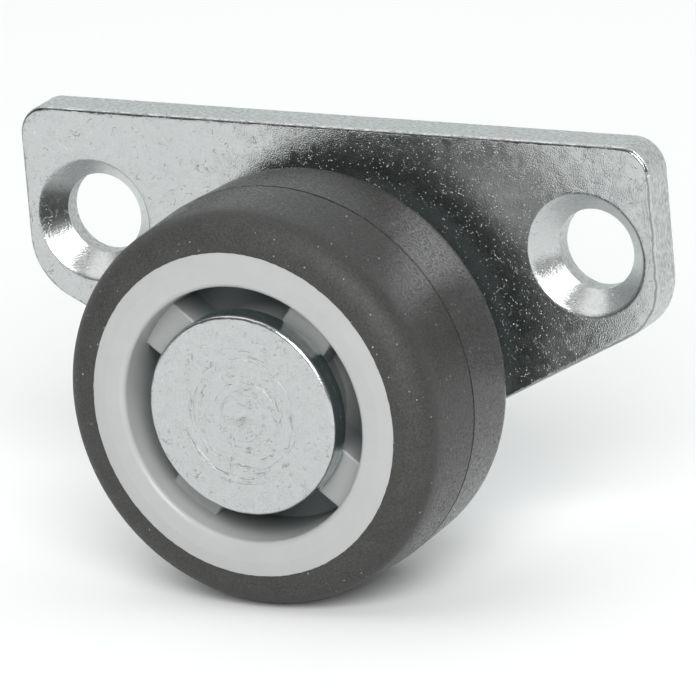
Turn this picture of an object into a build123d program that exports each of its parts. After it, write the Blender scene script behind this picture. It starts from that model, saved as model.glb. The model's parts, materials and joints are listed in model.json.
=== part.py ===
from build123d import *
from math import radians, tan
import os

# Rigid furniture caster: a grey-tyred wheel that turns on a riveted axle,
# carried by a flat steel plate for two countersunk screws.
#
# Frame: the origin is midway between the screw holes on the plate's back face.
# +X runs along the plate, +Z is up, and the wheel stands out towards -Y.
# "Depth" below is the distance in front of the back face, so it runs along -Y.
# Millimetres throughout.

# Mounting plate, blanked from flat steel
hole_pitch = 40.0              # between the two screw holes
end_margin = 5.5               # screw hole to the plate's end
plate_thickness = 3.0
top_margin = 8.3               # hole line up to the top edge
axle_drop = 8.25               # hole line down to the axle
top_corner_radius = 2.3
lower_corner_radius = 4.8
lower_corner_drop = 1.7        # hole line down to the centres of the lower corners
axle_lobe_radius = 8.4         # round of the plate's foot, about the axle
die_roll_radius = 0.3          # rounded front edge left by the blanking die
burr_chamfer = 0.15            # broken back edge

# Screw holes
screw_hole_diameter = 6.0
countersink_depth = 1.6
countersink_angle = 90.0

# Axle rivet
shank_diameter = 7.0
neck_diameter = 5.0            # reduced end that passes through the plate
tail_diameter = 7.6            # end upset into the plate's rear countersink
tail_angle = 90.0
tail_recess = 0.1              # tail below the back face, so the plate sits flat
head_diameter = 14.9
head_thickness = 1.8
head_edge_radius = 0.28
dimple_diameter = 2.8
dimple_depth = 0.14

# Wheel, as a whole
wheel_diameter = 29.7          # over the tyre, at its parting line
tyre_width = 13.5
plate_gap = 2.5                # plate's front face to the tyre

# Wheel core, one nylon moulding
rim_wall = 2.6                 # tyre to the recess, at its mouth
rim_rise = 0.2                 # core faces stand this far beyond the tyre's
rim_edge_width = 1.1           # width over which they fall back to the tyre
recess_depth = 5.4             # both faces
recess_draft = 2.5             # degrees
recess_mouth_radius = 0.45
hub_diameter = 11.2
bore_chamfer = 0.3
rib_count = 4
rib_width = 4.0
rib_setback = 2.2              # rib face below the core's face
rib_first_angle = 52.0         # degrees up from +X, seen from the front
rib_edge_radius = 0.2
key_height = 0.9               # band round the rim that keys the tyre
key_width = 3.0

# Tyre, moulded on the rim
tyre_thickness = 2.75          # at the parting line
tyre_front_width = 7.0         # front face back to the parting line
tread_draft = 0.3              # fall in radius from the parting line to each face
front_face_width = 0.25        # flat ring between the rim and the front shoulder
rear_face_width = 0.95         # the same at the rear
parting_groove_width = 0.24
parting_groove_depth = 0.1

# Clearances
bore_clearance = 0.05          # radial, shank in the hub
end_float = 0.2                # hub to the head, and hub to the plate
rib_overrun = 0.5              # length of a rib buried in the hub and in the rim

# Sizes that follow from the ones above
plate_length = hole_pitch + 2 * end_margin
screw_hole_radius = screw_hole_diameter / 2
countersink_radius = screw_hole_radius + countersink_depth * tan(radians(countersink_angle / 2))
neck_radius = neck_diameter / 2
tail_radius = tail_diameter / 2
shank_radius = shank_diameter / 2
head_radius = head_diameter / 2
hub_radius = hub_diameter / 2
bore_radius = shank_radius + bore_clearance
wheel_radius = wheel_diameter / 2
rim_radius = wheel_radius - tyre_thickness
key_radius = rim_radius + key_height
recess_radius = rim_radius - rim_wall
front_shoulder_radius = tyre_thickness - tread_draft - front_face_width
rear_shoulder_radius = tyre_thickness - tread_draft - rear_face_width

tyre_rear = plate_thickness + plate_gap
tyre_front = tyre_rear + tyre_width
parting_depth = tyre_front - tyre_front_width
core_rear = tyre_rear - rim_rise
core_front = tyre_front + rim_rise
core_middle = (core_rear + core_front) / 2
key_rear = core_middle - key_width / 2
key_front = core_middle + key_width / 2
web_rear = core_rear + recess_depth
web_front = core_front - recess_depth
head_face = core_front
head_rear = head_face - head_thickness
hub_rear = plate_thickness + end_float
hub_front = head_rear - end_float

# Plate plane: x along the plate, y up, extrusion towards the front.
# Axle plane: x is the radius from the axle, y is the depth.
plate_plane = Plane.XZ
axle_plane = Plane(origin=(0, 0, -axle_drop), x_dir=(1, 0, 0), z_dir=(0, 0, -1))
axle_line = Axis((0, 0, -axle_drop), (0, 1, 0))


def turned(points, radii):
    """Solid of revolution about the axle, from (radius, depth) corners and their rounding."""
    outline = FilletPolyline(*points, radius=radii, close=True)
    return revolve(axle_plane * make_face(outline.edges()), axis=axle_line)


def plate_outline():
    """Convex outline that is tangent to the four corner circles and the foot's circle."""
    top_x = plate_length / 2 - top_corner_radius
    low_x = plate_length / 2 - lower_corner_radius
    top_z = top_margin - top_corner_radius
    circles = [Pos(0, -axle_drop) * Circle(axle_lobe_radius)]
    for side in (-1, 1):
        circles.append(Pos(side * top_x, top_z) * Circle(top_corner_radius))
        circles.append(Pos(side * low_x, -lower_corner_drop) * Circle(lower_corner_radius))
    return make_hull([circle.edge() for circle in circles])


def cone_hole(centre, mouth_radius, hole_radius, angle, from_front):
    """Through hole with a conical mouth on the plate's front or back face."""
    cone_depth = (mouth_radius - hole_radius) / tan(radians(angle / 2))
    cone = Cone(hole_radius, mouth_radius, cone_depth, align=(Align.CENTER, Align.CENTER, Align.MIN))
    bore = Cylinder(hole_radius, plate_thickness, align=(Align.CENTER, Align.CENTER, Align.MIN))
    if from_front:
        cone = Pos(0, 0, plate_thickness - cone_depth) * cone
    else:
        cone = Pos(0, 0, cone_depth) * Rot(180, 0, 0) * cone
    return plate_plane * Pos(*centre) * (bore + cone)


def mounting_plate():
    """Flat steel plate with two countersunk screw holes and the riveted axle hole."""
    plate = plate_plane * extrude(plate_outline(), plate_thickness)
    plate = fillet(plate.faces().sort_by(Axis.Y)[0].edges(), die_roll_radius)
    plate = chamfer(plate.faces().sort_by(Axis.Y)[-1].edges(), burr_chamfer)
    for side in (-1, 1):
        centre = (side * hole_pitch / 2, 0)
        plate -= cone_hole(centre, countersink_radius, screw_hole_radius, countersink_angle, True)
    plate -= cone_hole((0, -axle_drop), tail_radius, neck_radius, tail_angle, False)
    return plate


def axle_rivet():
    """Shouldered rivet: flat head, bearing shank, neck through the plate and upset tail."""
    tail_slope = tan(radians(tail_angle / 2))
    tail_depth = (tail_radius - neck_radius) / tail_slope
    points = [
        (0, tail_recess),
        (tail_radius - tail_recess * tail_slope, tail_recess),
        (neck_radius, tail_depth),
        (neck_radius, plate_thickness),
        (shank_radius, plate_thickness),
        (shank_radius, head_rear),
        (head_radius, head_rear),
        (head_radius, head_face),
        (dimple_diameter / 2, head_face),
        (0, head_face - dimple_depth),
    ]
    radii = [0, 0, 0, 0, 0, 0, 0, head_edge_radius, 0, 0]
    return turned(points, radii)


def core_body():
    """Rim with its keying band, web, and hub sleeve, turned in one profile."""
    floor_radius = recess_radius - recess_depth * tan(radians(recess_draft))
    crown_radius = rim_radius - rim_edge_width
    points = [
        (bore_radius, hub_rear + bore_chamfer),
        (bore_radius + bore_chamfer, hub_rear),
        (hub_radius, hub_rear),
        (hub_radius, web_rear),
        (floor_radius, web_rear),
        (recess_radius, core_rear),
        (crown_radius, core_rear),
        (rim_radius, tyre_rear),
        (rim_radius, key_rear),
        (key_radius, key_rear),
        (key_radius, key_front),
        (rim_radius, key_front),
        (rim_radius, tyre_front),
        (crown_radius, core_front),
        (recess_radius, core_front),
        (floor_radius, web_front),
        (hub_radius, web_front),
        (hub_radius, hub_front),
        (bore_radius + bore_chamfer, hub_front),
        (bore_radius, hub_front - bore_chamfer),
    ]
    half = [0, 0, 0, 0, 0, recess_mouth_radius, 0, 0, 0, 0]
    return turned(points, half + half[::-1])


def rib(rear_face, front_face):
    """One straight rib that ties the hub to the rim and stands out of the web on both sides."""
    length = recess_radius - hub_radius + 2 * rib_overrun
    height = front_face - rear_face
    middle = Pos((recess_radius + hub_radius) / 2, (rear_face + front_face) / 2)
    block = axle_plane * middle * Box(length, height, rib_width)
    return fillet(block.edges().filter_by(Axis.X), rib_edge_radius)


def wheel_core():
    """Nylon core: turned body and four ribs on each face."""
    core = core_body()
    one_rib = rib(core_rear + rib_setback, core_front - rib_setback)
    for index in range(rib_count):
        angle = rib_first_angle + index * 360 / rib_count
        core += one_rib.rotate(axle_line, -angle)
    return core


def tyre():
    """Soft tyre with a crowned tread, rounded shoulders and a parting line."""
    face_radius = wheel_radius - tread_draft
    groove = parting_groove_width / 2
    points = [
        (rim_radius, tyre_rear),
        (face_radius, tyre_rear),
        (wheel_radius, parting_depth - groove),
        (wheel_radius - parting_groove_depth, parting_depth),
        (wheel_radius, parting_depth + groove),
        (face_radius, tyre_front),
        (rim_radius, tyre_front),
        (rim_radius, key_front),
        (key_radius, key_front),
        (key_radius, key_rear),
        (rim_radius, key_rear),
    ]
    radii = [0, rear_shoulder_radius, 0, 0, 0, front_shoulder_radius, 0, 0, 0, 0, 0]
    return turned(points, radii)


os.makedirs("parts", exist_ok=True)
export_step(mounting_plate(), "parts/mounting_plate.step")
export_step(axle_rivet(), "parts/axle_rivet.step")
export_step(wheel_core(), "parts/wheel_core.step")
export_step(tyre(), "parts/tyre.step")
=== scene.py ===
import json
import math

import bmesh
import bpy
import numpy as np
from mathutils import Matrix, Vector, noise
from mathutils.geometry import delaunay_2d_cdt


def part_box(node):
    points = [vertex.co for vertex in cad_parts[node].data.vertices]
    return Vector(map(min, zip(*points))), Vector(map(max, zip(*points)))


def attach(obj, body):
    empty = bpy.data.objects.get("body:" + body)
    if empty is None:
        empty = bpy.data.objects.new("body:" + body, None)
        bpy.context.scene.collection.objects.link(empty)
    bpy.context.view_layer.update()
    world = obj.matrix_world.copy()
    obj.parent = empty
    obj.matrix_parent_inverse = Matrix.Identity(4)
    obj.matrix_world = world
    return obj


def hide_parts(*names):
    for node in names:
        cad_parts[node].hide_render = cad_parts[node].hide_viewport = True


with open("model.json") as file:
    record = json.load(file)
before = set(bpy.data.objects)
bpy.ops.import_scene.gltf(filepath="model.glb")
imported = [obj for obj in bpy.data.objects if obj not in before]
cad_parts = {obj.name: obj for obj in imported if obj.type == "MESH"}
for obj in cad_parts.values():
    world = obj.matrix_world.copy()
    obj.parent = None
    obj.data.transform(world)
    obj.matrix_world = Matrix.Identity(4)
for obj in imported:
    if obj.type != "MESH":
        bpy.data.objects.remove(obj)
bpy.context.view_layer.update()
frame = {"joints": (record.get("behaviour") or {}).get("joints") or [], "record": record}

MILLIMETRES = 1000             # in a metre
TURN = 2 * math.pi
ROUNDING = 1e-6                # share of a step by which a length may run over
TOLERANCE = 1e-7               # two places nearer than this are the same
MERGE_DISTANCE = 1e-8
TRIANGULATION_SLACK = 1e-9
CREASE_ANGLE = math.radians(32)
NOISE_STEP = (17.3, 5.1, 9.7)  # from one seed's part of the noise to the next

# Places and sizes read from the frame
plate_low, plate_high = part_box("mounting_plate")
rivet_low, rivet_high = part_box("axle_rivet")
core_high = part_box("wheel_core")[1]
tyre_low, tyre_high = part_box("tyre")
axle_z = frame["joints"][0]["pos_m"][2]
hole_dims = frame["record"]["mounts"][0]["dims"]
hole_x = hole_dims["spacing_x_mm"] / MILLIMETRES / 2
hole_radius = hole_dims["hole_r_mm"] / MILLIMETRES

plate_thickness = plate_high.y - plate_low.y
plate_half_length = plate_high.x
plate_top = plate_high.z
foot_radius = axle_z - plate_low.z

wheel_radius = (tyre_high.x - tyre_low.x) / 2
tyre_rear = -tyre_high.y
tyre_front = -tyre_low.y
hub_rear = -core_high.y
key_radius = core_high.x
head_radius = rivet_high.x
head_face = -rivet_low.y
tail_face = -rivet_high.y

# Plate details
TOP_CORNER_RADIUS = 0.0023
LOWER_CORNER_RADIUS = 0.0048
LOWER_CORNER_DROP = 0.0017     # hole line down to the centres of the lower corners
DIE_ROLL_RADIUS = 0.0003
BURR_CHAMFER = 0.00015
COUNTERSINK_DEPTH = 0.0016
COUNTERSINK_LIP = 0.00007      # worn edge of the countersink's mouth
HOLE_EDGE = 0.0001             # broken edge of a screw hole on the back face
NECK_RADIUS = 0.0025
TAIL_RADIUS = 0.0038

# Plate's unevenness
EDGE_INSET = 0.00001           # keeps the uneven side inside the true outline
EDGE_WANDER = 0.0001           # the crease's wander along the front face
EDGE_RIPPLE = 0.00006
CREASE_DEPTH = 0.000016        # crooked groove where the front face begins to roll over
CREASE_CONTRAST = 1.5          # between its shallow and its deep stretches
TEAR_START = 0.45              # share of the side that the die cut clean
TEAR_DEPTH = 0.00003
TEAR_RIPPLE = 0.00002
LAST_TEAR = 0.4                # share of the tear that is left at the back edge
BACK_RIPPLE = 0.00002
HOLE_WOBBLE = 0.000012
LIP_WOBBLE = 0.8               # share of the wobble left below the mouth's worn edge
BORE_WOBBLE = 0.2              # share left in the bore
RELIEF_SIZE = 0.0045
RELIEF_HEIGHT = 0.000004
FINE_RELIEF_SIZE = 0.0013
FINE_RELIEF_HEIGHT = 0.0000015

# Plate's mesh
WHOLE_HULL = 0                 # the triangulation's kind of result
HOLE_SHARE = 0.9999            # share of a hole's radius within which faces are left out
PLATE_GRID = 0.00042
ROW_SHARE = 0.87               # distance between the grid's rows, as a share of its step
GRID_CLEARANCE = PLATE_GRID * 0.6
FLAT_BORDER = 0.00009          # flat ring that guards the edges of the front face
ROLL_STEPS = 6
SIDE_STEPS = 9
CONE_STEPS = 8
HOLE_SEGMENTS = 144

# Rivet details
SHANK_RADIUS = 0.0035
HEAD_THICKNESS = 0.0018
HEAD_EDGE_RADIUS = 0.00028
HEAD_REAR_RADIUS = 0.00015
DIMPLE_RADIUS = 0.0014
DIMPLE_DEPTH = 0.00014
DIMPLE_POWER = 1.5             # past 1, so that the dimple has a soft edge
TAIL_EDGE = 0.0001             # broken edge of the tail
FACE_INSET = 0.00001           # keeps the marked face inside the true one
RING_FADE = 0.0006             # width over which the press rings die out at the head's edge
RING_SWAY = 0.00035            # how far the rings run off centre
RING_RIPPLE = 0.0002
HEAD_RIM_INSET = 0.00002       # keeps the nicked rim inside the true one
HEAD_RIM_WOBBLE = 0.00001
NICKED_SHARE = 0.6             # of the head's thickness, counted from its face
RIVET_STEP = 0.00014
RIVET_SEGMENTS = 320
# Radius, width and depth of each faint ring that the press left on the head
PRESS_RINGS = ((0.0033, 0.00012, 0.000010), (0.0040, 0.00016, 0.000012), (0.0045, 0.0001, 0.000008))

# Core details
KEY_HEIGHT = 0.0009            # band round the rim that keys the tyre
KEY_WIDTH = 0.003
RIM_RISE = 0.0002              # core faces stand this far beyond the tyre's
RIM_EDGE_WIDTH = 0.0011        # width over which they fall back to the tyre
RIM_EDGE_RADIUS = 0.0012
RIM_WALL = 0.0026
RECESS_DEPTH = 0.0054
RECESS_DRAFT = math.radians(2.5)
RECESS_MOUTH_RADIUS = 0.00045
HUB_RADIUS = 0.0056
BORE_RADIUS = 0.00355
BORE_CHAMFER = 0.0003
CORE_EDGE_RADIUS = 0.00015
END_FLOAT = 0.0002             # hub to the head
RIB_COUNT = 4
RIB_WIDTH = 0.004
RIB_SETBACK = 0.0022           # rib face below the core's face
RIB_FIRST_ANGLE = math.radians(52)
RIB_OVERRUN = 0.0005           # length of a rib buried in the hub and in the rim
RIB_EDGE_RADIUS = 0.0002
CORE_SEGMENTS = 288

# Tyre details
TYRE_FRONT_WIDTH = 0.007       # front face back to the parting line
TREAD_DRAFT = 0.0003           # fall in radius from the parting line to each face
FRONT_SHOULDER_RADIUS = 0.0022
REAR_SHOULDER_RADIUS = 0.0015
GROOVE_WIDTH = 0.00017
GROOVE_DEPTH = 0.00014
GROOVE_WANDER = 0.00002
LIP_CREEP = 0.00006            # how far the tyre's lip runs in over the rim
LIP_WANDER = 0.000013
LONGEST_CREEP = 0.00016
LIP_HEIGHT = 0.000012
TYRE_STEP = 0.0006
TYRE_SEGMENTS = 420

# Sizes that follow from the ones above
tail_depth = TAIL_RADIUS - NECK_RADIUS
countersink_radius = hole_radius + COUNTERSINK_DEPTH
rim_radius = key_radius - KEY_HEIGHT
recess_radius = rim_radius - RIM_WALL
core_rear = tyre_rear - RIM_RISE
core_front = tyre_front + RIM_RISE
core_middle = (core_rear + core_front) / 2
key_rear = core_middle - KEY_WIDTH / 2
key_front = core_middle + KEY_WIDTH / 2
parting_depth = tyre_front - TYRE_FRONT_WIDTH

# Colours
ZINC = (0.59, 0.60, 0.60)
ZINC_MARK = (0.17, 0.175, 0.175)
ZINC_PARTICLE = (0.86, 0.87, 0.87)
ZINC_SHEEN = (0.4, 0.95, 0.9)
NYLON_DULL = (0.385, 0.39, 0.39)
NYLON_PALE = (0.415, 0.42, 0.42)
# Painted shade for the rim's rear face, in the gap between the wheel and the plate
NYLON_PAINTED_GAP_SHADE = (0.13, 0.135, 0.135)
# Painted shade for the core's pockets
NYLON_PAINTED_SHADE = (0.13, 0.145, 0.145)
RUBBER_FACE = (0.060, 0.0605, 0.058)
RUBBER_TREAD = (0.029, 0.0292, 0.0262)
RUBBER_CLOUD = (0.038, 0.0382, 0.0356)
# Painted shade in the parting groove
RUBBER_PAINTED_GROOVE_SHADE = (0.008, 0.008, 0.008)
# Painted glints: pale specks on the rubber
RUBBER_PAINTED_GLINT = (0.3, 0.3, 0.29)
DUST = (0.34, 0.34, 0.33)
ROOM = (0.96, 1.0, 0.995)

# Camera, as fitted to the photograph
CAMERA_AZIMUTH = math.radians(29.364)
CAMERA_ELEVATION = math.radians(17.297)
CAMERA_ROLL = math.radians(-5.066)
CAMERA_DISTANCE = 1.15525
CAMERA_TARGET = Vector((-0.000003, plate_low.y, axle_z - 0.000073))
FOCAL_PIXELS = 16109.7
PHOTO_PIXELS = 696
SENSOR_WIDTH = 36.0


# Shapes in the plane

def rounded(corners, arc_step=math.radians(9)):
    """Points along a polyline of (x, y) or (x, y, radius) corners, with an arc at each radius."""
    points = []
    for index, corner in enumerate(corners):
        here = np.array(corner[:2])
        if len(corner) == 2:
            points.append(here)
            continue
        radius = corner[2]
        back = np.array(corners[index - 1][:2]) - here
        ahead = np.array(corners[(index + 1) % len(corners)][:2]) - here
        back /= np.linalg.norm(back)
        ahead /= np.linalg.norm(ahead)
        half = math.acos(np.clip(back @ ahead, -1, 1)) / 2
        middle = (back + ahead) / np.linalg.norm(back + ahead)
        centre = here + middle * radius / math.sin(half)
        start = here + back * radius / math.tan(half) - centre
        end = here + ahead * radius / math.tan(half) - centre
        turn = math.pi - 2 * half
        steps = max(2, math.ceil(turn / arc_step))
        for step in range(steps + 1):
            share = step / steps
            blend = (math.sin((1 - share) * turn) * start + math.sin(share * turn) * end) / math.sin(turn)
            points.append(centre + blend)
    return np.array(points)


def divided(points, longest, closed=True):
    """The same polyline with every stretch cut into steps no longer than the one given."""
    ends = np.roll(points, -1, axis=0) if closed else points[1:]
    result = []
    for start, end in zip(points, ends):
        steps = max(1, math.ceil(np.linalg.norm(end - start) / longest - ROUNDING))
        for step in range(steps):
            result.append(start + (end - start) * step / steps)
    if not closed:
        result.append(points[-1])
    return np.array(result)


def ring_noise(angle, waves, seed):
    """Smooth noise round a circle, about -1 to 1, from the given wave counts."""
    random = np.random.default_rng(seed)
    total = np.zeros_like(angle)
    for wave in waves:
        total += np.cos(wave * angle + random.uniform(0, TURN))
    return total / math.sqrt(len(waves))


def point_noise(points, size, seed):
    """Smooth noise, about -1 to 1, at each of some 3-D points, with features of about the given size."""
    shift = Vector([seed * step for step in NOISE_STEP])
    return np.array([noise.noise(Vector(point) / size + shift) for point in points])


# Meshes

def make_object(name, points, faces):
    """Mesh object with its faces turned outwards, smooth apart from its sharp edges."""
    mesh = bpy.data.meshes.new(name)
    mesh.from_pydata([tuple(point) for point in points], [], faces)
    mesh.validate()
    finished = bpy.data.objects.new(name, mesh)
    bpy.context.scene.collection.objects.link(finished)
    tidy_mesh(mesh)
    return finished


def tidy_mesh(mesh):
    """Outward normals, and smooth shading with sharp edges past the crease angle."""
    work = bmesh.new()
    work.from_mesh(mesh)
    bmesh.ops.remove_doubles(work, verts=work.verts, dist=MERGE_DISTANCE)
    bmesh.ops.recalc_face_normals(work, faces=work.faces)
    work.to_mesh(mesh)
    work.free()
    mesh.shade_smooth()
    mesh.set_sharp_from_angle(angle=CREASE_ANGLE)


def turned(name, profile, segments, reshape=None, closed=True):
    """Solid of revolution about the axle, from (radius, depth) points.

    reshape takes arrays of angle, radius and depth and returns the radius and depth to use.
    An open profile has both ends on the axle line.
    """
    angle = np.arange(segments) * TURN / segments
    radius, turn = np.meshgrid(profile[:, 0], angle)
    depth = np.meshgrid(profile[:, 1], angle)[0]
    if reshape:
        radius, depth = reshape(turn, radius, depth)
    points = np.stack([radius * np.cos(turn), -depth, axle_z + radius * np.sin(turn)], axis=-1)
    count = len(profile)
    faces = []
    for row in range(segments):
        following = (row + 1) % segments
        for column in range(count if closed else count - 1):
            beside = (column + 1) % count
            faces.append((row * count + column, row * count + beside,
                          following * count + beside, following * count + column))
    return make_object(name, points.reshape(-1, 3), faces)


# Mounting plate

def plate_outline(arc_step=math.radians(4), longest=0.0003):
    """Points and outward normals round the plate, tangent to its four corner circles and its foot."""
    top_x = plate_half_length - TOP_CORNER_RADIUS
    low_x = plate_half_length - LOWER_CORNER_RADIUS
    top_z = plate_top - TOP_CORNER_RADIUS
    circles = [
        (np.array((0.0, axle_z)), foot_radius),
        (np.array((low_x, -LOWER_CORNER_DROP)), LOWER_CORNER_RADIUS),
        (np.array((top_x, top_z)), TOP_CORNER_RADIUS),
        (np.array((-top_x, top_z)), TOP_CORNER_RADIUS),
        (np.array((-low_x, -LOWER_CORNER_DROP)), LOWER_CORNER_RADIUS),
    ]
    count = len(circles)
    leaving = []
    for index, (centre, radius) in enumerate(circles):
        next_centre, next_radius = circles[(index + 1) % count]
        gap = next_centre - centre
        base = math.atan2(gap[1], gap[0])
        leaving.append(base - math.acos((radius - next_radius) / np.linalg.norm(gap)))
    points, normals = [], []
    for index, (centre, radius) in enumerate(circles):
        start, end = leaving[index - 1], leaving[index]
        end += TURN * math.ceil((start - end) / TURN)
        steps = max(2, math.ceil((end - start) / arc_step))
        for step in range(steps + 1):
            angle = start + (end - start) * step / steps
            normal = np.array((math.cos(angle), math.sin(angle)))
            points.append(centre + radius * normal)
            normals.append(normal)
        next_centre, next_radius = circles[(index + 1) % count]
        target = next_centre + next_radius * normal
        steps = math.ceil(np.linalg.norm(target - points[-1]) / longest)
        base = points[-1]
        for step in range(1, steps):
            points.append(base + (target - base) * step / steps)
            normals.append(normal)
    return np.array(points), np.array(normals)


class PlateMesh:
    """Collects the plate's vertices and faces ring by ring."""

    def __init__(self, outline, normals):
        self.outline = outline
        self.normals = normals
        self.points = []
        self.faces = []

    def ring(self, flat, depth):
        """Adds one closed ring of (x, z) points at a depth and returns its vertex numbers."""
        first = len(self.points)
        depth = np.broadcast_to(depth, len(flat))
        self.points.extend((x, -level, z) for (x, z), level in zip(flat, depth))
        return list(range(first, len(self.points)))

    def inset_ring(self, inset, depth):
        """Adds a ring that lies inside the outline by one distance, or by one for each of its points."""
        inset = np.broadcast_to(inset, len(self.outline))
        return self.ring(self.outline - self.normals * inset[:, None], depth)

    def join(self, one, other):
        """Adds the band of faces between two rings of the same length."""
        for index in range(len(one)):
            after = (index + 1) % len(one)
            self.faces.append((one[index], one[after], other[after], other[index]))

    def bridge(self, rings):
        """Adds the bands between each ring and the next."""
        for one, other in zip(rings, rings[1:]):
            self.join(one, other)

    def fill(self, outer, holes, margin, depth, relief):
        """Adds a face between an outer ring and the rings of its holes, with a grid of points inside.

        The grid keeps the given margin from the plate's outline. Slight hollows in the outer ring
        are filled too, out to its convex hull.
        """
        edges, flat, numbers = [], [], []
        for ring in [outer] + holes:
            first = len(flat)
            for number in ring:
                x, _, z = self.points[number]
                flat.append(Vector((x, z)))
                numbers.append(number)
            size = len(ring)
            edges.extend((first + index, first + (index + 1) % size) for index in range(size))
        inside = self.grid(holes, margin)
        for x, z in inside:
            flat.append(Vector((x, z)))
            numbers.append(len(self.points))
            self.points.append((x, -(depth + relief(x, z)), z))
        found = delaunay_2d_cdt(flat, edges, [], WHOLE_HULL, TRIANGULATION_SLACK)
        coords, triangles, origin = found[0], found[2], found[3]
        lookup = [numbers[ids[0]] if ids else None for ids in origin]
        centres = [self.circle_of(ring) for ring in holes]
        for triangle in triangles:
            middle = sum((coords[index] for index in triangle), Vector((0, 0))) / 3
            if all((middle - centre).length > radius * HOLE_SHARE for centre, radius in centres):
                self.faces.append(tuple(lookup[index] for index in triangle))

    def circle_of(self, ring):
        """Centre and radius of a round ring."""
        flat = [Vector((self.points[number][0], self.points[number][2])) for number in ring]
        centre = sum(flat, Vector((0, 0))) / len(flat)
        return centre, (flat[0] - centre).length

    def grid(self, holes, margin):
        """Staggered grid of (x, z) points inside the outline and clear of the holes."""
        low, high = self.outline.min(axis=0), self.outline.max(axis=0)
        rows = np.arange(low[1], high[1], PLATE_GRID * ROW_SHARE)
        points = []
        for index, z in enumerate(rows):
            start = low[0] + index % 2 * PLATE_GRID / 2
            points.extend((x, z) for x in np.arange(start, high[0], PLATE_GRID))
        points = np.array(points)
        reach = np.sum(self.outline * self.normals, axis=1)
        keep = np.min(reach - points @ self.normals.T, axis=1) > margin
        for ring in holes:
            centre, radius = self.circle_of(ring)
            keep &= np.linalg.norm(points - np.array(centre), axis=1) > radius + GRID_CLEARANCE
        return points[keep]


def circle_points(x, z, radius):
    """Points of a circle in the plate's plane."""
    angle = np.arange(HOLE_SEGMENTS) * TURN / HOLE_SEGMENTS
    return np.stack([x + radius * np.cos(angle), z + radius * np.sin(angle)], axis=1)


def mounting_plate():
    """Blanked steel plate: rolled front edge, sheared side, broken back edge and three holes."""
    outline, normals = plate_outline()
    plate = PlateMesh(outline, normals)
    place = np.concatenate([outline, np.zeros((len(outline), 1))], axis=1)
    wander = point_noise(place, size=0.0013, seed=1) * EDGE_WANDER
    wander += point_noise(place, size=0.0004, seed=2) * EDGE_RIPPLE
    rings = [plate.inset_ring(DIE_ROLL_RADIUS + FLAT_BORDER + wander, plate_thickness)]
    rings += rolled_edge(plate, place, wander)
    rings += sheared_side(plate, place)
    back_inset = BURR_CHAMFER + BACK_RIPPLE * point_noise(place, size=0.0006, seed=3)
    rings.append(plate.inset_ring(back_inset, 0.0))
    plate.bridge(rings)

    hole_rings = [screw_hole(plate, x) for x in (-hole_x, hole_x)]
    hole_rings.append(axle_hole(plate))
    for one_hole in hole_rings:
        plate.bridge(one_hole)
    front_holes = [one_hole[0] for one_hole in hole_rings]
    back_holes = [one_hole[-1] for one_hole in hole_rings]
    front_margin = DIE_ROLL_RADIUS + FLAT_BORDER + GRID_CLEARANCE
    back_margin = BURR_CHAMFER + GRID_CLEARANCE
    plate.fill(rings[0], front_holes, front_margin, plate_thickness, front_relief)
    plate.fill(rings[-1], back_holes, back_margin, 0.0, lambda x, z: 0.0)
    return make_object("plate_finished", plate.points, plate.faces)


def rolled_edge(plate, place, wander):
    """Rings round the front edge, from the crooked crease on the front face over to the side."""
    crease = CREASE_DEPTH * np.clip(1 + CREASE_CONTRAST * point_noise(place, size=0.0009, seed=6), 0, 2)
    rings = []
    for step in range(ROLL_STEPS + 1):
        turn = math.pi / 2 * step / ROLL_STEPS
        fade = 1 - step / ROLL_STEPS
        inset = DIE_ROLL_RADIUS * (1 - math.sin(turn)) + wander * fade ** 2 + EDGE_INSET
        depth = plate_thickness - DIE_ROLL_RADIUS * (1 - math.cos(turn))
        if step == 0:
            depth = depth - crease
        rings.append(plate.inset_ring(inset, depth))
    return rings


def sheared_side(plate, place):
    """Rings down the side, which is even where the die cut it and uneven where the metal tore."""
    side_depth = plate_thickness - DIE_ROLL_RADIUS
    rings = []
    for step in range(1, SIDE_STEPS + 1):
        share = step / SIDE_STEPS
        depth = side_depth + (BURR_CHAMFER - side_depth) * share
        torn = max(0.0, share - TEAR_START)
        layer = point_noise(place + np.array((0, 0, depth)), size=0.0005, seed=4)
        strength = LAST_TEAR if step == SIDE_STEPS else 1
        inset = EDGE_INSET + torn * (TEAR_DEPTH + TEAR_RIPPLE * layer) * strength
        rings.append(plate.inset_ring(inset, depth))
    return rings


def front_relief(x, z):
    """Slight unevenness of the rolled sheet."""
    broad = noise.noise(Vector((x, z, 0)) / RELIEF_SIZE)
    fine = noise.noise(Vector((x, z, 1)) / FINE_RELIEF_SIZE)
    return RELIEF_HEIGHT * broad + FINE_RELIEF_HEIGHT * fine


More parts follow.
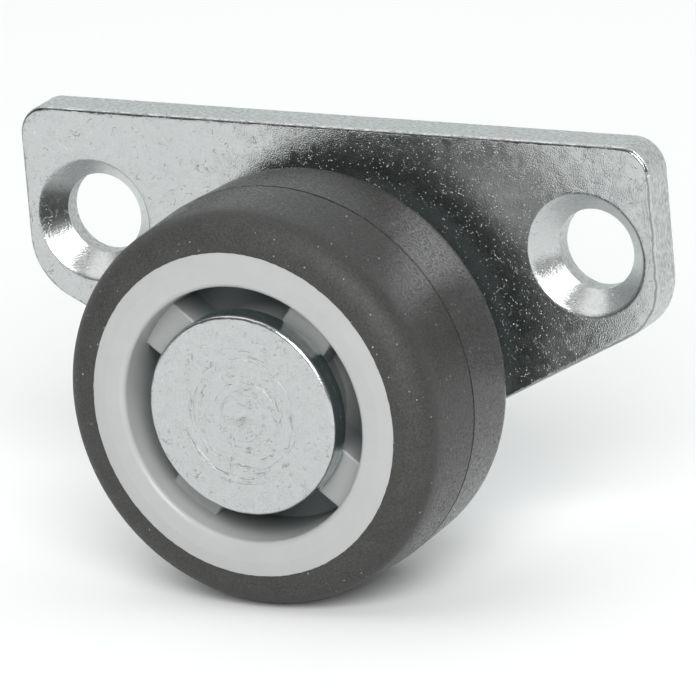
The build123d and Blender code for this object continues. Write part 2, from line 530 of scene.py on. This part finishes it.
def screw_hole(plate, x):
    """Rings of one screw hole, from its mouth on the front face to its edge on the back."""
    angle = np.arange(HOLE_SEGMENTS) * TURN / HOLE_SEGMENTS
    wobble = ring_noise(angle, (2, 3, 5, 9, 14), seed=5 + int(x > 0)) * HOLE_WOBBLE
    # Each level is a radius, a depth and the share of the wobble that it has
    levels = [
        (countersink_radius + COUNTERSINK_LIP + FLAT_BORDER, plate_thickness, 1.0),
        (countersink_radius + COUNTERSINK_LIP, plate_thickness, 1.0),
        (countersink_radius + COUNTERSINK_LIP * 0.3, plate_thickness - COUNTERSINK_LIP * 0.25, 1.0),
        (countersink_radius - COUNTERSINK_LIP, plate_thickness - COUNTERSINK_LIP, LIP_WOBBLE),
    ]
    for step in range(1, CONE_STEPS + 1):
        share = step / CONE_STEPS
        sunk = COUNTERSINK_LIP + (COUNTERSINK_DEPTH - COUNTERSINK_LIP) * share
        wobble_share = LIP_WOBBLE + (BORE_WOBBLE - LIP_WOBBLE) * share
        levels.append((countersink_radius - sunk, plate_thickness - sunk, wobble_share))
    bore_top = plate_thickness - COUNTERSINK_DEPTH
    levels += [
        (hole_radius, bore_top * 0.92, BORE_WOBBLE),
        (hole_radius, bore_top * 0.5, BORE_WOBBLE),
        (hole_radius, HOLE_EDGE, BORE_WOBBLE),
        (hole_radius + HOLE_EDGE, 0.0, BORE_WOBBLE),
    ]
    rings = []
    for radius, depth, amount in levels:
        reach = radius + wobble * amount
        flat = np.stack([x + reach * np.cos(angle), reach * np.sin(angle)], axis=1)
        rings.append(plate.ring(flat, depth))
    return rings


def axle_hole(plate):
    """Rings of the rivet's hole, which widens towards the back face for the tail."""
    levels = [(NECK_RADIUS, plate_thickness), (NECK_RADIUS, tail_depth), (TAIL_RADIUS, 0.0)]
    return [plate.ring(circle_points(0, axle_z, radius), depth) for radius, depth in levels]


# Axle rivet

def axle_rivet():
    """Flat-headed rivet with press marks on its face and a small centre dimple."""
    head_rear = head_face - HEAD_THICKNESS
    face_edge = head_radius - HEAD_EDGE_RADIUS
    corners = [
        (0.0, tail_face),
        (TAIL_RADIUS - tail_face - TAIL_EDGE, tail_face, TAIL_EDGE / 2),
        (TAIL_RADIUS - tail_face, tail_face + TAIL_EDGE),
        (NECK_RADIUS, tail_depth),
        (NECK_RADIUS, plate_thickness),
        (SHANK_RADIUS, plate_thickness),
        (SHANK_RADIUS, head_rear),
        (head_radius, head_rear, HEAD_REAR_RADIUS),
        (head_radius, head_face, HEAD_EDGE_RADIUS),
        (DIMPLE_RADIUS, head_face),
        (0.0, head_face),
    ]
    profile = divided(rounded(corners, arc_step=math.radians(8)), RIVET_STEP, closed=False)

    def reshape(turn, radius, depth):
        on_face = (depth > head_face - TOLERANCE) & (radius <= face_edge + TOLERANCE)
        dimple = DIMPLE_DEPTH * np.clip(1 - radius / DIMPLE_RADIUS, 0, 1) ** DIMPLE_POWER
        sway = RING_SWAY * np.sin(turn + 0.7) + RING_RIPPLE * np.sin(2 * turn + 2.1)
        grooves = np.zeros_like(radius)
        for ring_radius, width, sunk in PRESS_RINGS:
            grooves += sunk * np.exp(-((radius - ring_radius + sway) / width) ** 2)
        edge_fade = np.clip((face_edge - radius) / RING_FADE, 0, 1)
        depth = np.where(on_face, depth - (FACE_INSET * edge_fade + dimple + grooves * edge_fade), depth)
        rim = (radius > face_edge) & (depth > head_face - HEAD_THICKNESS * NICKED_SHARE)
        nicks = ring_noise(turn, (5, 8, 13, 21, 34), seed=11) * HEAD_RIM_WOBBLE
        radius = np.where(rim, radius - HEAD_RIM_INSET + nicks, radius)
        return radius, depth

    return turned("rivet_finished", profile, RIVET_SEGMENTS, reshape, closed=False)


# Wheel core

def core_profile():
    """Section of the core's turned body: bore, hub, web, recesses, rim and keying band."""
    crown_radius = rim_radius - RIM_EDGE_WIDTH
    floor_radius = recess_radius - RECESS_DEPTH * math.tan(RECESS_DRAFT)
    hub_front = head_face - HEAD_THICKNESS - END_FLOAT
    corners = [
        (BORE_RADIUS, hub_rear + BORE_CHAMFER),
        (BORE_RADIUS + BORE_CHAMFER, hub_rear),
        (HUB_RADIUS, hub_rear, CORE_EDGE_RADIUS),
        (HUB_RADIUS, core_rear + RECESS_DEPTH, CORE_EDGE_RADIUS),
        (floor_radius, core_rear + RECESS_DEPTH, CORE_EDGE_RADIUS),
        (recess_radius, core_rear, RECESS_MOUTH_RADIUS),
        (crown_radius, core_rear, RIM_EDGE_RADIUS),
        (rim_radius, tyre_rear),
        (rim_radius, key_rear),
        (key_radius, key_rear),
        (key_radius, key_front),
        (rim_radius, key_front),
        (rim_radius, tyre_front),
        (crown_radius, core_front, RIM_EDGE_RADIUS),
        (recess_radius, core_front, RECESS_MOUTH_RADIUS),
        (floor_radius, core_front - RECESS_DEPTH, CORE_EDGE_RADIUS),
        (HUB_RADIUS, core_front - RECESS_DEPTH, CORE_EDGE_RADIUS),
        (HUB_RADIUS, hub_front, CORE_EDGE_RADIUS),
        (BORE_RADIUS + BORE_CHAMFER, hub_front),
        (BORE_RADIUS, hub_front - BORE_CHAMFER),
    ]
    return rounded(corners)


def rib_object(index):
    """One straight rib with rounded long edges, from the hub to the rim."""
    inner = HUB_RADIUS - RIB_OVERRUN
    outer = recess_radius + RIB_OVERRUN
    low = core_rear + RIB_SETBACK
    high = core_front - RIB_SETBACK
    half = RIB_WIDTH / 2
    section = rounded([(-half, low, RIB_EDGE_RADIUS), (half, low, RIB_EDGE_RADIUS),
                       (half, high, RIB_EDGE_RADIUS), (-half, high, RIB_EDGE_RADIUS)],
                      arc_step=math.radians(18))
    angle = RIB_FIRST_ANGLE + index * TURN / RIB_COUNT
    along = np.array((math.cos(angle), math.sin(angle)))
    across = np.array((-along[1], along[0]))
    count = len(section)
    points = []
    for reach in (inner, outer):
        for offset, depth in section:
            x, z = along * reach + across * offset
            points.append((x, -depth, axle_z + z))
    faces = [tuple(range(count)), tuple(range(2 * count - 1, count - 1, -1))]
    for number in range(count):
        after = (number + 1) % count
        faces.append((number, after, count + after, count + number))
    return make_object(f"rib_{index}", points, faces)


def wheel_core():
    """Moulded core: the turned body joined with its four ribs."""
    core = turned("core_finished", core_profile(), CORE_SEGMENTS)
    for index in range(RIB_COUNT):
        rib = rib_object(index)
        union = core.modifiers.new("rib", "BOOLEAN")
        union.operation = "UNION"
        union.solver = "EXACT"
        union.object = rib
        evaluated = core.evaluated_get(bpy.context.evaluated_depsgraph_get())
        joined = bpy.data.meshes.new_from_object(evaluated)
        core.modifiers.clear()
        core.data = joined
        bpy.data.objects.remove(rib)
    tidy_mesh(core.data)
    return core


# Tyre

def tyre():
    """Soft tyre with rounded shoulders, a parting groove and a slightly ragged lip on the core."""
    face_radius = wheel_radius - TREAD_DRAFT
    groove = GROOVE_WIDTH / 2
    corners = [
        (rim_radius, tyre_rear),
        (face_radius, tyre_rear, REAR_SHOULDER_RADIUS),
        (wheel_radius, parting_depth - groove),
        (wheel_radius - GROOVE_DEPTH, parting_depth - groove * 0.3),
        (wheel_radius - GROOVE_DEPTH, parting_depth + groove * 0.3),
        (wheel_radius, parting_depth + groove),
        (face_radius, tyre_front, FRONT_SHOULDER_RADIUS),
        (rim_radius, tyre_front),
        (rim_radius, key_front),
        (key_radius, key_front),
        (key_radius, key_rear),
        (rim_radius, key_rear),
    ]
    profile = divided(rounded(corners, arc_step=math.radians(6)), TYRE_STEP)

    def reshape(turn, radius, depth):
        lip = (np.abs(radius - rim_radius) < TOLERANCE) & (depth > tyre_front - TOLERANCE)
        creep = LIP_CREEP + LIP_WANDER * ring_noise(turn, (7, 23, 41, 67, 89, 113), seed=21)
        creep = np.clip(creep, 0.0, LONGEST_CREEP)
        slope = RIM_RISE / RIM_EDGE_WIDTH
        radius = np.where(lip, radius - creep, radius)
        depth = np.where(lip, depth + creep * slope + LIP_HEIGHT, depth)
        near_groove = np.abs(depth - parting_depth) < GROOVE_WIDTH
        drift = GROOVE_WANDER * ring_noise(turn, (2, 5, 9, 17), seed=22)
        depth = np.where(near_groove, depth + drift, depth)
        return radius, depth

    return turned("tyre_finished", profile, TYRE_SEGMENTS, reshape)


# Materials

def new_node(tree, kind, inputs=None, **settings):
    """Adds a shader node, sets its options and inputs, and links any input given as a socket."""
    made = tree.nodes.new(kind)
    for key, value in settings.items():
        setattr(made, key, value)
    for key, value in (inputs or {}).items():
        if isinstance(value, bpy.types.NodeSocket):
            tree.links.new(value, made.inputs[key])
        else:
            made.inputs[key].default_value = value
    return made


def new_material(name):
    """Empty node material, with its Principled shader."""
    material = bpy.data.materials.new(name)
    material.use_nodes = True
    tree = material.node_tree
    return material, tree, tree.nodes["Principled BSDF"]


def millimetres(tree):
    """The piece's own coordinates in millimetres."""
    coordinates = new_node(tree, "ShaderNodeTexCoord")
    inputs = {"Vector": coordinates.outputs["Object"], "Scale": (MILLIMETRES,) * 3}
    return new_node(tree, "ShaderNodeMapping", inputs).outputs["Vector"]


def mapped(tree, vector, turn=(0, 0, 0), stretch=(1, 1, 1), shift=(0, 0, 0)):
    """Coordinates that are turned first and stretched and shifted after that."""
    turned_first = new_node(tree, "ShaderNodeMapping", {"Vector": vector, "Rotation": turn})
    inputs = {"Vector": turned_first.outputs["Vector"], "Scale": stretch, "Location": shift}
    return new_node(tree, "ShaderNodeMapping", inputs).outputs["Vector"]


def vector_math(tree, operation, vector, output="Vector"):
    """Vector math node of one vector."""
    made = new_node(tree, "ShaderNodeVectorMath", {"Vector": vector}, operation=operation)
    return made.outputs[output]


def grey(value):
    """Grey colour that stands for a number."""
    return (value, value, value)


def noise_value(tree, vector, scale, detail=2.0, roughness=0.5):
    """Noise texture's value."""
    made = new_node(tree, "ShaderNodeTexNoise",
                    {"Vector": vector, "Scale": scale, "Detail": detail, "Roughness": roughness})
    return made.outputs["Fac"]


def ramp(tree, value, stops):
    """Grey ramp with (place, brightness) stops."""
    made = new_node(tree, "ShaderNodeValToRGB", {"Fac": value})
    elements = made.color_ramp.elements
    while len(elements) < len(stops):
        elements.new(0.5)
    for element, (place, brightness) in zip(elements, stops):
        element.position = place
        element.color = (*grey(brightness), 1)
    return made.outputs["Color"]


def between(tree, value, low, high):
    """0 below the low value, 1 above the high one, or the other way round where low is the larger."""
    return new_node(tree, "ShaderNodeMapRange",
                    {"Value": value, "From Min": low, "From Max": high}).outputs["Result"]


def math_node(tree, operation, *values):
    """Math node of one or two values or sockets."""
    return new_node(tree, "ShaderNodeMath", dict(enumerate(values)), operation=operation).outputs["Value"]


def opaque(colour):
    """The colour with full opacity. A socket stays as it is."""
    return colour if isinstance(colour, bpy.types.NodeSocket) else (*colour, 1)


def mixed(tree, factor, one, other, blend="MIX"):
    """Blend of two colours or sockets."""
    inputs = {"Fac": factor, "Color1": opaque(one), "Color2": opaque(other)}
    return new_node(tree, "ShaderNodeMixRGB", inputs, blend_type=blend).outputs["Color"]


def bump(tree, height, distance, normal=None):
    """Bump of a 0 to 1 height that is the given distance high."""
    inputs = {"Height": height, "Distance": distance}
    if normal:
        inputs["Normal"] = normal
    return new_node(tree, "ShaderNodeBump", inputs).outputs["Normal"]


def specks(tree, vector, scale, size, share):
    """1 in small round spots scattered over a share of a grid's cells, 0 elsewhere."""
    cells = new_node(tree, "ShaderNodeTexVoronoi", {"Vector": vector, "Scale": scale})
    chosen = math_node(tree, "LESS_THAN", cells.outputs["Color"], share)
    return math_node(tree, "MULTIPLY", chosen, between(tree, cells.outputs["Distance"], size, size * 0.3))


def hairlines(tree, vector, angle, length, width, share, seed):
    """1 along sparse straight scratches at one angle in the plate's plane."""
    stretched = mapped(tree, vector, turn=(0, angle, 0), stretch=(0.6 / length, 0.3, 0.6 / width),
                       shift=(seed, 2 * seed, 3 * seed))
    return specks(tree, stretched, scale=1.0, size=0.3, share=share)


def dashes(tree, vector, scale, width, cover, seed):
    """1 along short crooked marks: a noise's middle contour, broken up by a broader noise."""
    shifted = mapped(tree, vector, shift=(seed, 2 * seed, 3 * seed))
    from_middle = math_node(tree, "SUBTRACT", noise_value(tree, shifted, scale, detail=4.0), 0.5)
    line = between(tree, math_node(tree, "ABSOLUTE", from_middle), width, width * 0.4)
    gate = between(tree, noise_value(tree, shifted, scale * 0.8), 1 - cover, 1.05 - cover)
    return math_node(tree, "MULTIPLY", line, gate)


def hole_distance(tree, place):
    """Distance from the nearer screw hole's centre line, in millimetres."""
    folded = vector_math(tree, "ABSOLUTE", place)
    centred = mapped(tree, folded, stretch=(1, 0, 1), shift=(-hole_x * MILLIMETRES, 0, 0))
    return vector_math(tree, "LENGTH", centred, "Value")


def axle_distance(tree, place):
    """Distance from the axle line, in millimetres."""
    centred = mapped(tree, place, stretch=(1, 0, 1), shift=(0, 0, -axle_z * MILLIMETRES))
    return vector_math(tree, "LENGTH", centred, "Value")


def press_arcs(tree, place):
    """1 along broken arcs about the axle, midway out on the rivet's head."""
    parts = new_node(tree, "ShaderNodeSeparateXYZ", {"Vector": place})
    up = math_node(tree, "SUBTRACT", parts.outputs["Z"], axle_z * MILLIMETRES)
    radius = axle_distance(tree, place)
    # Radius and direction serve as coordinates, so that a mark runs round the axle
    ringed = new_node(tree, "ShaderNodeCombineXYZ", {
        "X": math_node(tree, "MULTIPLY", radius, 2.6),
        "Y": math_node(tree, "DIVIDE", parts.outputs["X"], radius),
        "Z": math_node(tree, "DIVIDE", up, radius),
    })
    arcs = dashes(tree, ringed.outputs["Vector"], scale=1.3, width=0.022, cover=0.5, seed=4.0)
    zone = math_node(tree, "MULTIPLY", between(tree, radius, 1.0, 2.4), between(tree, radius, 5.4, 4.8))
    return math_node(tree, "MULTIPLY", arcs, zone)


def facing_level(tree):
    """1 on faces square to the wheel's axis, 0 on the plate's sides."""
    normal = new_node(tree, "ShaderNodeTexCoord").outputs["Normal"]
    facing = new_node(tree, "ShaderNodeSeparateXYZ", {"Vector": normal})
    return math_node(tree, "ABSOLUTE", facing.outputs["Y"])


def fold_line(tree, place, level):
    """1 along a dark crooked line where the plate's front edge begins to roll over."""
    crooked = math_node(tree, "ADD", level, noise_value(tree, place, scale=1.6, detail=4.0, roughness=0.6))
    off_fold = math_node(tree, "ABSOLUTE", math_node(tree, "SUBTRACT", crooked, 1.3))
    near_fold = between(tree, off_fold, 0.25, 0.1)
    return math_node(tree, "MULTIPLY", near_fold, between(tree, level, 0.998, 0.98))


def zinc(name, roughness, blanked=True):
    """Bright zinc plating with a fine grain, dull patches, particles, crooked marks and hairlines.

    A blanked piece also has torn sides, a dark line where its front edge rolls over and evenly
    dull countersinks. A headed piece has press arcs instead.
    """
    material, tree, shader = new_material(name)
    place = millimetres(tree)
    level = facing_level(tree)
    mottle = noise_value(tree, place, scale=0.7, detail=3.0)
    grain = noise_value(tree, place, scale=10.0, detail=1.0)
    clouds = between(tree, noise_value(tree, place, scale=1.1), 0.35, 0.65)
    clouds = math_node(tree, "MULTIPLY", clouds, between(tree, level, 0.85, 0.98))
    patchy = math_node(tree, "MULTIPLY", grain, clouds)
    particles = math_node(tree, "MAXIMUM", specks(tree, place, scale=2.3, size=0.11, share=0.3),
                          specks(tree, place, scale=4.3, size=0.16, share=0.26))
    marks = math_node(tree, "MAXIMUM", dashes(tree, place, scale=1.1, width=0.012, cover=0.4, seed=3.0),
                      dashes(tree, place, scale=2.4, width=0.018, cover=0.4, seed=11.0))
    lines = math_node(tree, "MAXIMUM",
                      hairlines(tree, place, angle=0.9, length=3.0, width=0.05, share=0.03, seed=5.0),
                      hairlines(tree, place, angle=-0.5, length=2.2, width=0.05, share=0.03, seed=8.0))
    cloudy = noise_value(tree, place, scale=5.0, detail=3.0, roughness=0.6)
    tint = mixed(tree, mottle, tuple(share * 0.94 for share in ZINC), ZINC)
    tint = mixed(tree, 0.7, tint, ramp(tree, cloudy, [(0.35, 0.84), (0.65, 1.0)]), blend="MULTIPLY")
    raised = math_node(tree, "MAXIMUM", particles, lines)
    rough = ramp(tree, mottle, [(0.3, roughness * 0.8), (0.7, roughness * 1.3)])
    rough = mixed(tree, math_node(tree, "MULTIPLY", patchy, 0.5), rough, grey(0.5))

    if blanked:
        mouth = countersink_radius * MILLIMETRES
        beyond_mouth = between(tree, hole_distance(tree, place), mouth + 0.1, mouth + 0.3)
        fold = math_node(tree, "MULTIPLY", fold_line(tree, place, level), beyond_mouth)
        side = between(tree, level, 0.35, 0.1)
        stretched = mapped(tree, place, stretch=(1.0, 2.6, 1.0))
        torn = noise_value(tree, stretched, scale=3.0, detail=4.0, roughness=0.6)
        tint = mixed(tree, math_node(tree, "MULTIPLY", marks, 0.6), tint, ZINC_MARK)
        tint = mixed(tree, side, tint, ramp(tree, torn, [(0.34, 0.36), (0.5, 0.55), (0.68, 0.74)]))
        tint = mixed(tree, math_node(tree, "MULTIPLY", fold, 0.75), tint, ZINC_MARK)
        rough = mixed(tree, beyond_mouth, grey(0.26), rough)
        spoilt = math_node(tree, "MAXIMUM", raised, side)
    else:
        marks = math_node(tree, "MAXIMUM", marks, press_arcs(tree, place))
        tint = mixed(tree, math_node(tree, "MULTIPLY", marks, 0.55), tint, ZINC_MARK)
        spoilt = raised
    tint = mixed(tree, math_node(tree, "MULTIPLY", particles, 0.7), tint, ZINC_PARTICLE)
    tree.links.new(tint, shader.inputs["Base Color"])
    tree.links.new(mixed(tree, spoilt, rough, grey(0.42)), shader.inputs["Roughness"])

    normal = bump(tree, grain, distance=0.000011)
    normal = bump(tree, patchy, distance=0.000015, normal=normal)
    normal = bump(tree, mottle, distance=0.000005, normal=normal)
    normal = bump(tree, marks, distance=-0.000006, normal=normal)
    normal = bump(tree, raised, distance=0.00002, normal=normal)
    if blanked:
        torn_side = math_node(tree, "MULTIPLY", torn, side)
        normal = bump(tree, torn_side, distance=0.0001, normal=normal)
    tree.links.new(normal, shader.inputs["Normal"])
    tree.links.new(ramp(tree, particles, [(0.0, 0.97), (1.0, 0.1)]), shader.inputs["Metallic"])
    shader.inputs["Sheen Weight"].default_value = 0.05
    shader.inputs["Sheen Roughness"].default_value = 0.6
    shader.inputs["Sheen Tint"].default_value = (*ZINC_SHEEN, 1)
    return material


def nylon():
    """Light grey moulded nylon, slightly translucent.

    Painted shade darkens it down in its pockets, less on the hub, and on the rim's rear face, in the
    narrow gap between the wheel and the plate.
    """
    material, tree, shader = new_material("core_nylon")
    place = millimetres(tree)
    mottle = noise_value(tree, place, scale=0.5)
    fine = noise_value(tree, place, scale=7.0)
    depth = new_node(tree, "ShaderNodeSeparateXYZ", {"Vector": place}).outputs["Y"]
    below_front = math_node(tree, "ADD", depth, core_front * MILLIMETRES)
    below_rear = math_node(tree, "SUBTRACT", -core_rear * MILLIMETRES, depth)
    hub = HUB_RADIUS * MILLIMETRES
    beyond_hub = between(tree, axle_distance(tree, place), hub + 0.1, hub + 1.2)
    # Painted shade: darker the deeper it lies in a pocket, less so on the hub
    sunk = between(tree, math_node(tree, "MINIMUM", below_front, below_rear), 1.0, 5.2)
    sunk = math_node(tree, "MULTIPLY", sunk, ramp(tree, beyond_hub, [(0.0, 0.25), (1.0, 1.0)]))
    # Painted shade on the rim's rear face, where it faces the plate across a narrow gap
    painted_gap_shade = math_node(tree, "MULTIPLY", between(tree, below_rear, 0.6, 0.1), beyond_hub)
    tint = mixed(tree, mottle, NYLON_DULL, NYLON_PALE)
    tint = mixed(tree, painted_gap_shade, tint, NYLON_PAINTED_GAP_SHADE)
    tint = mixed(tree, sunk, tint, NYLON_PAINTED_SHADE)
    tree.links.new(tint, shader.inputs["Base Color"])
    tree.links.new(bump(tree, fine, distance=0.000005), shader.inputs["Normal"])
    shader.inputs["Roughness"].default_value = 0.33
    shader.inputs["Subsurface Weight"].default_value = 0.15
    shader.inputs["Subsurface Radius"].default_value = (1.0, 1.0, 1.0)
    shader.inputs["Subsurface Scale"].default_value = 0.0005
    return material


def rubber():
    """Dark grey rubber with a fine grain, pale dust, pale specks that stand for painted glints, and
    painted shade that darkens the parting line.

    The face is matt, and the grain's peaks are polished on the tread.
    """
    material, tree, shader = new_material("tyre_rubber")
    place = millimetres(tree)
    fine = noise_value(tree, place, scale=5.0, detail=3.0, roughness=0.7)
    broad = noise_value(tree, place, scale=0.6, detail=3.0)
    grain = noise_value(tree, place, scale=6.0, detail=3.0, roughness=0.7)
    # Painted glints: pale specks scattered over the rubber
    painted_glints = specks(tree, place, scale=4.0, size=0.14, share=0.5)
    dust = math_node(tree, "MAXIMUM", specks(tree, place, scale=1.5, size=0.11, share=0.6),
                     specks(tree, place, scale=0.6, size=0.06, share=0.8))
    depth = new_node(tree, "ShaderNodeSeparateXYZ", {"Vector": place}).outputs["Y"]
    # Painted shade along the parting groove
    off_seam = math_node(tree, "ABSOLUTE", math_node(tree, "ADD", depth, parting_depth * MILLIMETRES))
    painted_groove_shade = between(tree, off_seam, 0.1, 0.05)
    from_front = math_node(tree, "ADD", depth, tyre_front * MILLIMETRES)
    worn = between(tree, from_front, 0.4, 3.8)
    tint = mixed(tree, worn, RUBBER_FACE, RUBBER_TREAD)
    tint = mixed(tree, broad, tint, RUBBER_CLOUD)
    tint = mixed(tree, 1.0, tint, ramp(tree, grain, [(0.35, 0.55), (0.65, 1.1)]), blend="MULTIPLY")
    tint = mixed(tree, painted_groove_shade, tint, RUBBER_PAINTED_GROOVE_SHADE)
    tint = mixed(tree, math_node(tree, "MULTIPLY", painted_glints, 0.4), tint, RUBBER_PAINTED_GLINT)
    tint = mixed(tree, dust, tint, DUST)
    tree.links.new(tint, shader.inputs["Base Color"])
    normal = bump(tree, fine, distance=0.00003)
    normal = bump(tree, dust, distance=0.00002, normal=normal)
    tree.links.new(normal, shader.inputs["Normal"])
    polished = ramp(tree, fine, [(0.4, 0.45), (0.57, 0.1)])
    tree.links.new(mixed(tree, worn, grey(0.6), polished), shader.inputs["Roughness"])
    shader.inputs["Specular IOR Level"].default_value = 0.37
    return material


# Stage, light and camera

def floor_material():
    """Pale, even floor."""
    material, tree, shader = new_material("floor_pale")
    place = millimetres(tree)
    tint = ramp(tree, noise_value(tree, place, scale=0.01), [(0.3, 0.89), (0.7, 0.91)])
    tree.links.new(tint, shader.inputs["Base Color"])
    shader.inputs["Roughness"].default_value = 0.8
    return material


def make_floor(level, half_side=4.0):
    """Plain floor under the wheel."""
    corners = [(-half_side, -half_side, level), (half_side, -half_side, level),
               (half_side, half_side, level), (-half_side, half_side, level)]
    mesh = bpy.data.meshes.new("floor")
    mesh.from_pydata(corners, [], [(0, 1, 2, 3)])
    floor = bpy.data.objects.new("floor", mesh)
    bpy.context.scene.collection.objects.link(floor)
    floor.data.materials.append(floor_material())


def softbox(name, direction, distance, size, radiance):
    """Square area light of the given radiance that faces the caster."""
    data = bpy.data.lights.new(name, "AREA")
    data.shape = "SQUARE"
    data.size = size
    data.energy = radiance * math.pi * size ** 2
    light = bpy.data.objects.new(name, data)
    bpy.context.scene.collection.objects.link(light)
    towards = Vector(direction).normalized()
    light.location = towards * distance
    light.rotation_mode = "QUATERNION"
    light.rotation_quaternion = towards.to_track_quat("Z", "Y")


def make_world(front, back):
    """Pale surroundings behind the caster that fade to a darker room on the photographer's side.

    front and back are the strengths straight ahead of the plate and straight behind it.
    """
    world = bpy.data.worlds.new("studio")
    world.use_nodes = True
    tree = world.node_tree
    coordinates = new_node(tree, "ShaderNodeTexCoord")
    parts = new_node(tree, "ShaderNodeSeparateXYZ", {"Vector": coordinates.outputs["Generated"]})
    fade = new_node(tree, "ShaderNodeMapRange", {
        "Value": parts.outputs["Y"],
        "From Min": -0.5,
        "From Max": 0.5,
        "To Min": front,
        "To Max": back,
    }, interpolation_type="SMOOTHSTEP")
    background = tree.nodes["Background"]
    background.inputs["Color"].default_value = (*ROOM, 1)
    tree.links.new(fade.outputs["Result"], background.inputs["Strength"])
    bpy.context.scene.world = world


def make_camera():
    """Long lens at the photograph's angle, rolled as the photograph is."""
    azimuth, elevation = CAMERA_AZIMUTH, CAMERA_ELEVATION
    back = Vector((math.sin(azimuth) * math.cos(elevation),
                   -math.cos(azimuth) * math.cos(elevation),
                   math.sin(elevation)))
    level = Vector((math.cos(azimuth), math.sin(azimuth), 0))
    up = back.cross(level)
    right = math.cos(CAMERA_ROLL) * level + math.sin(CAMERA_ROLL) * up
    top = back.cross(right)
    data = bpy.data.cameras.new("camera")
    data.sensor_width = SENSOR_WIDTH
    data.lens = FOCAL_PIXELS / PHOTO_PIXELS * SENSOR_WIDTH
    data.clip_start = 0.01
    data.clip_end = 20
    camera = bpy.data.objects.new("camera", data)
    bpy.context.scene.collection.objects.link(camera)
    turn = Matrix((right, top, back)).transposed().to_4x4()
    camera.matrix_world = Matrix.Translation(CAMERA_TARGET + back * CAMERA_DISTANCE) @ turn
    bpy.context.scene.camera = camera


def dress(piece, body, node, material):
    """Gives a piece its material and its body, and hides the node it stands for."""
    piece.data.materials.clear()
    piece.data.materials.append(material)
    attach(piece, body)
    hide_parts(node)


dress(mounting_plate(), "bracket", "mounting_plate", zinc("plate_zinc", roughness=0.12))
dress(axle_rivet(), "bracket", "axle_rivet",
      zinc("rivet_zinc", roughness=0.17, blanked=False))
dress(wheel_core(), "wheel", "wheel_core", nylon())
dress(tyre(), "wheel", "tyre", rubber())

make_floor(tyre_low.z)
make_world(front=0.1, back=0.85)
softbox("key", direction=(0.42, -0.735, 0.53), distance=1.6, size=0.98, radiance=9.4)
softbox("top", direction=(-0.35, -0.2, 0.91), distance=1.6, size=1.3, radiance=1.2)
make_camera()
bpy.context.scene.view_settings.view_transform = "Standard"
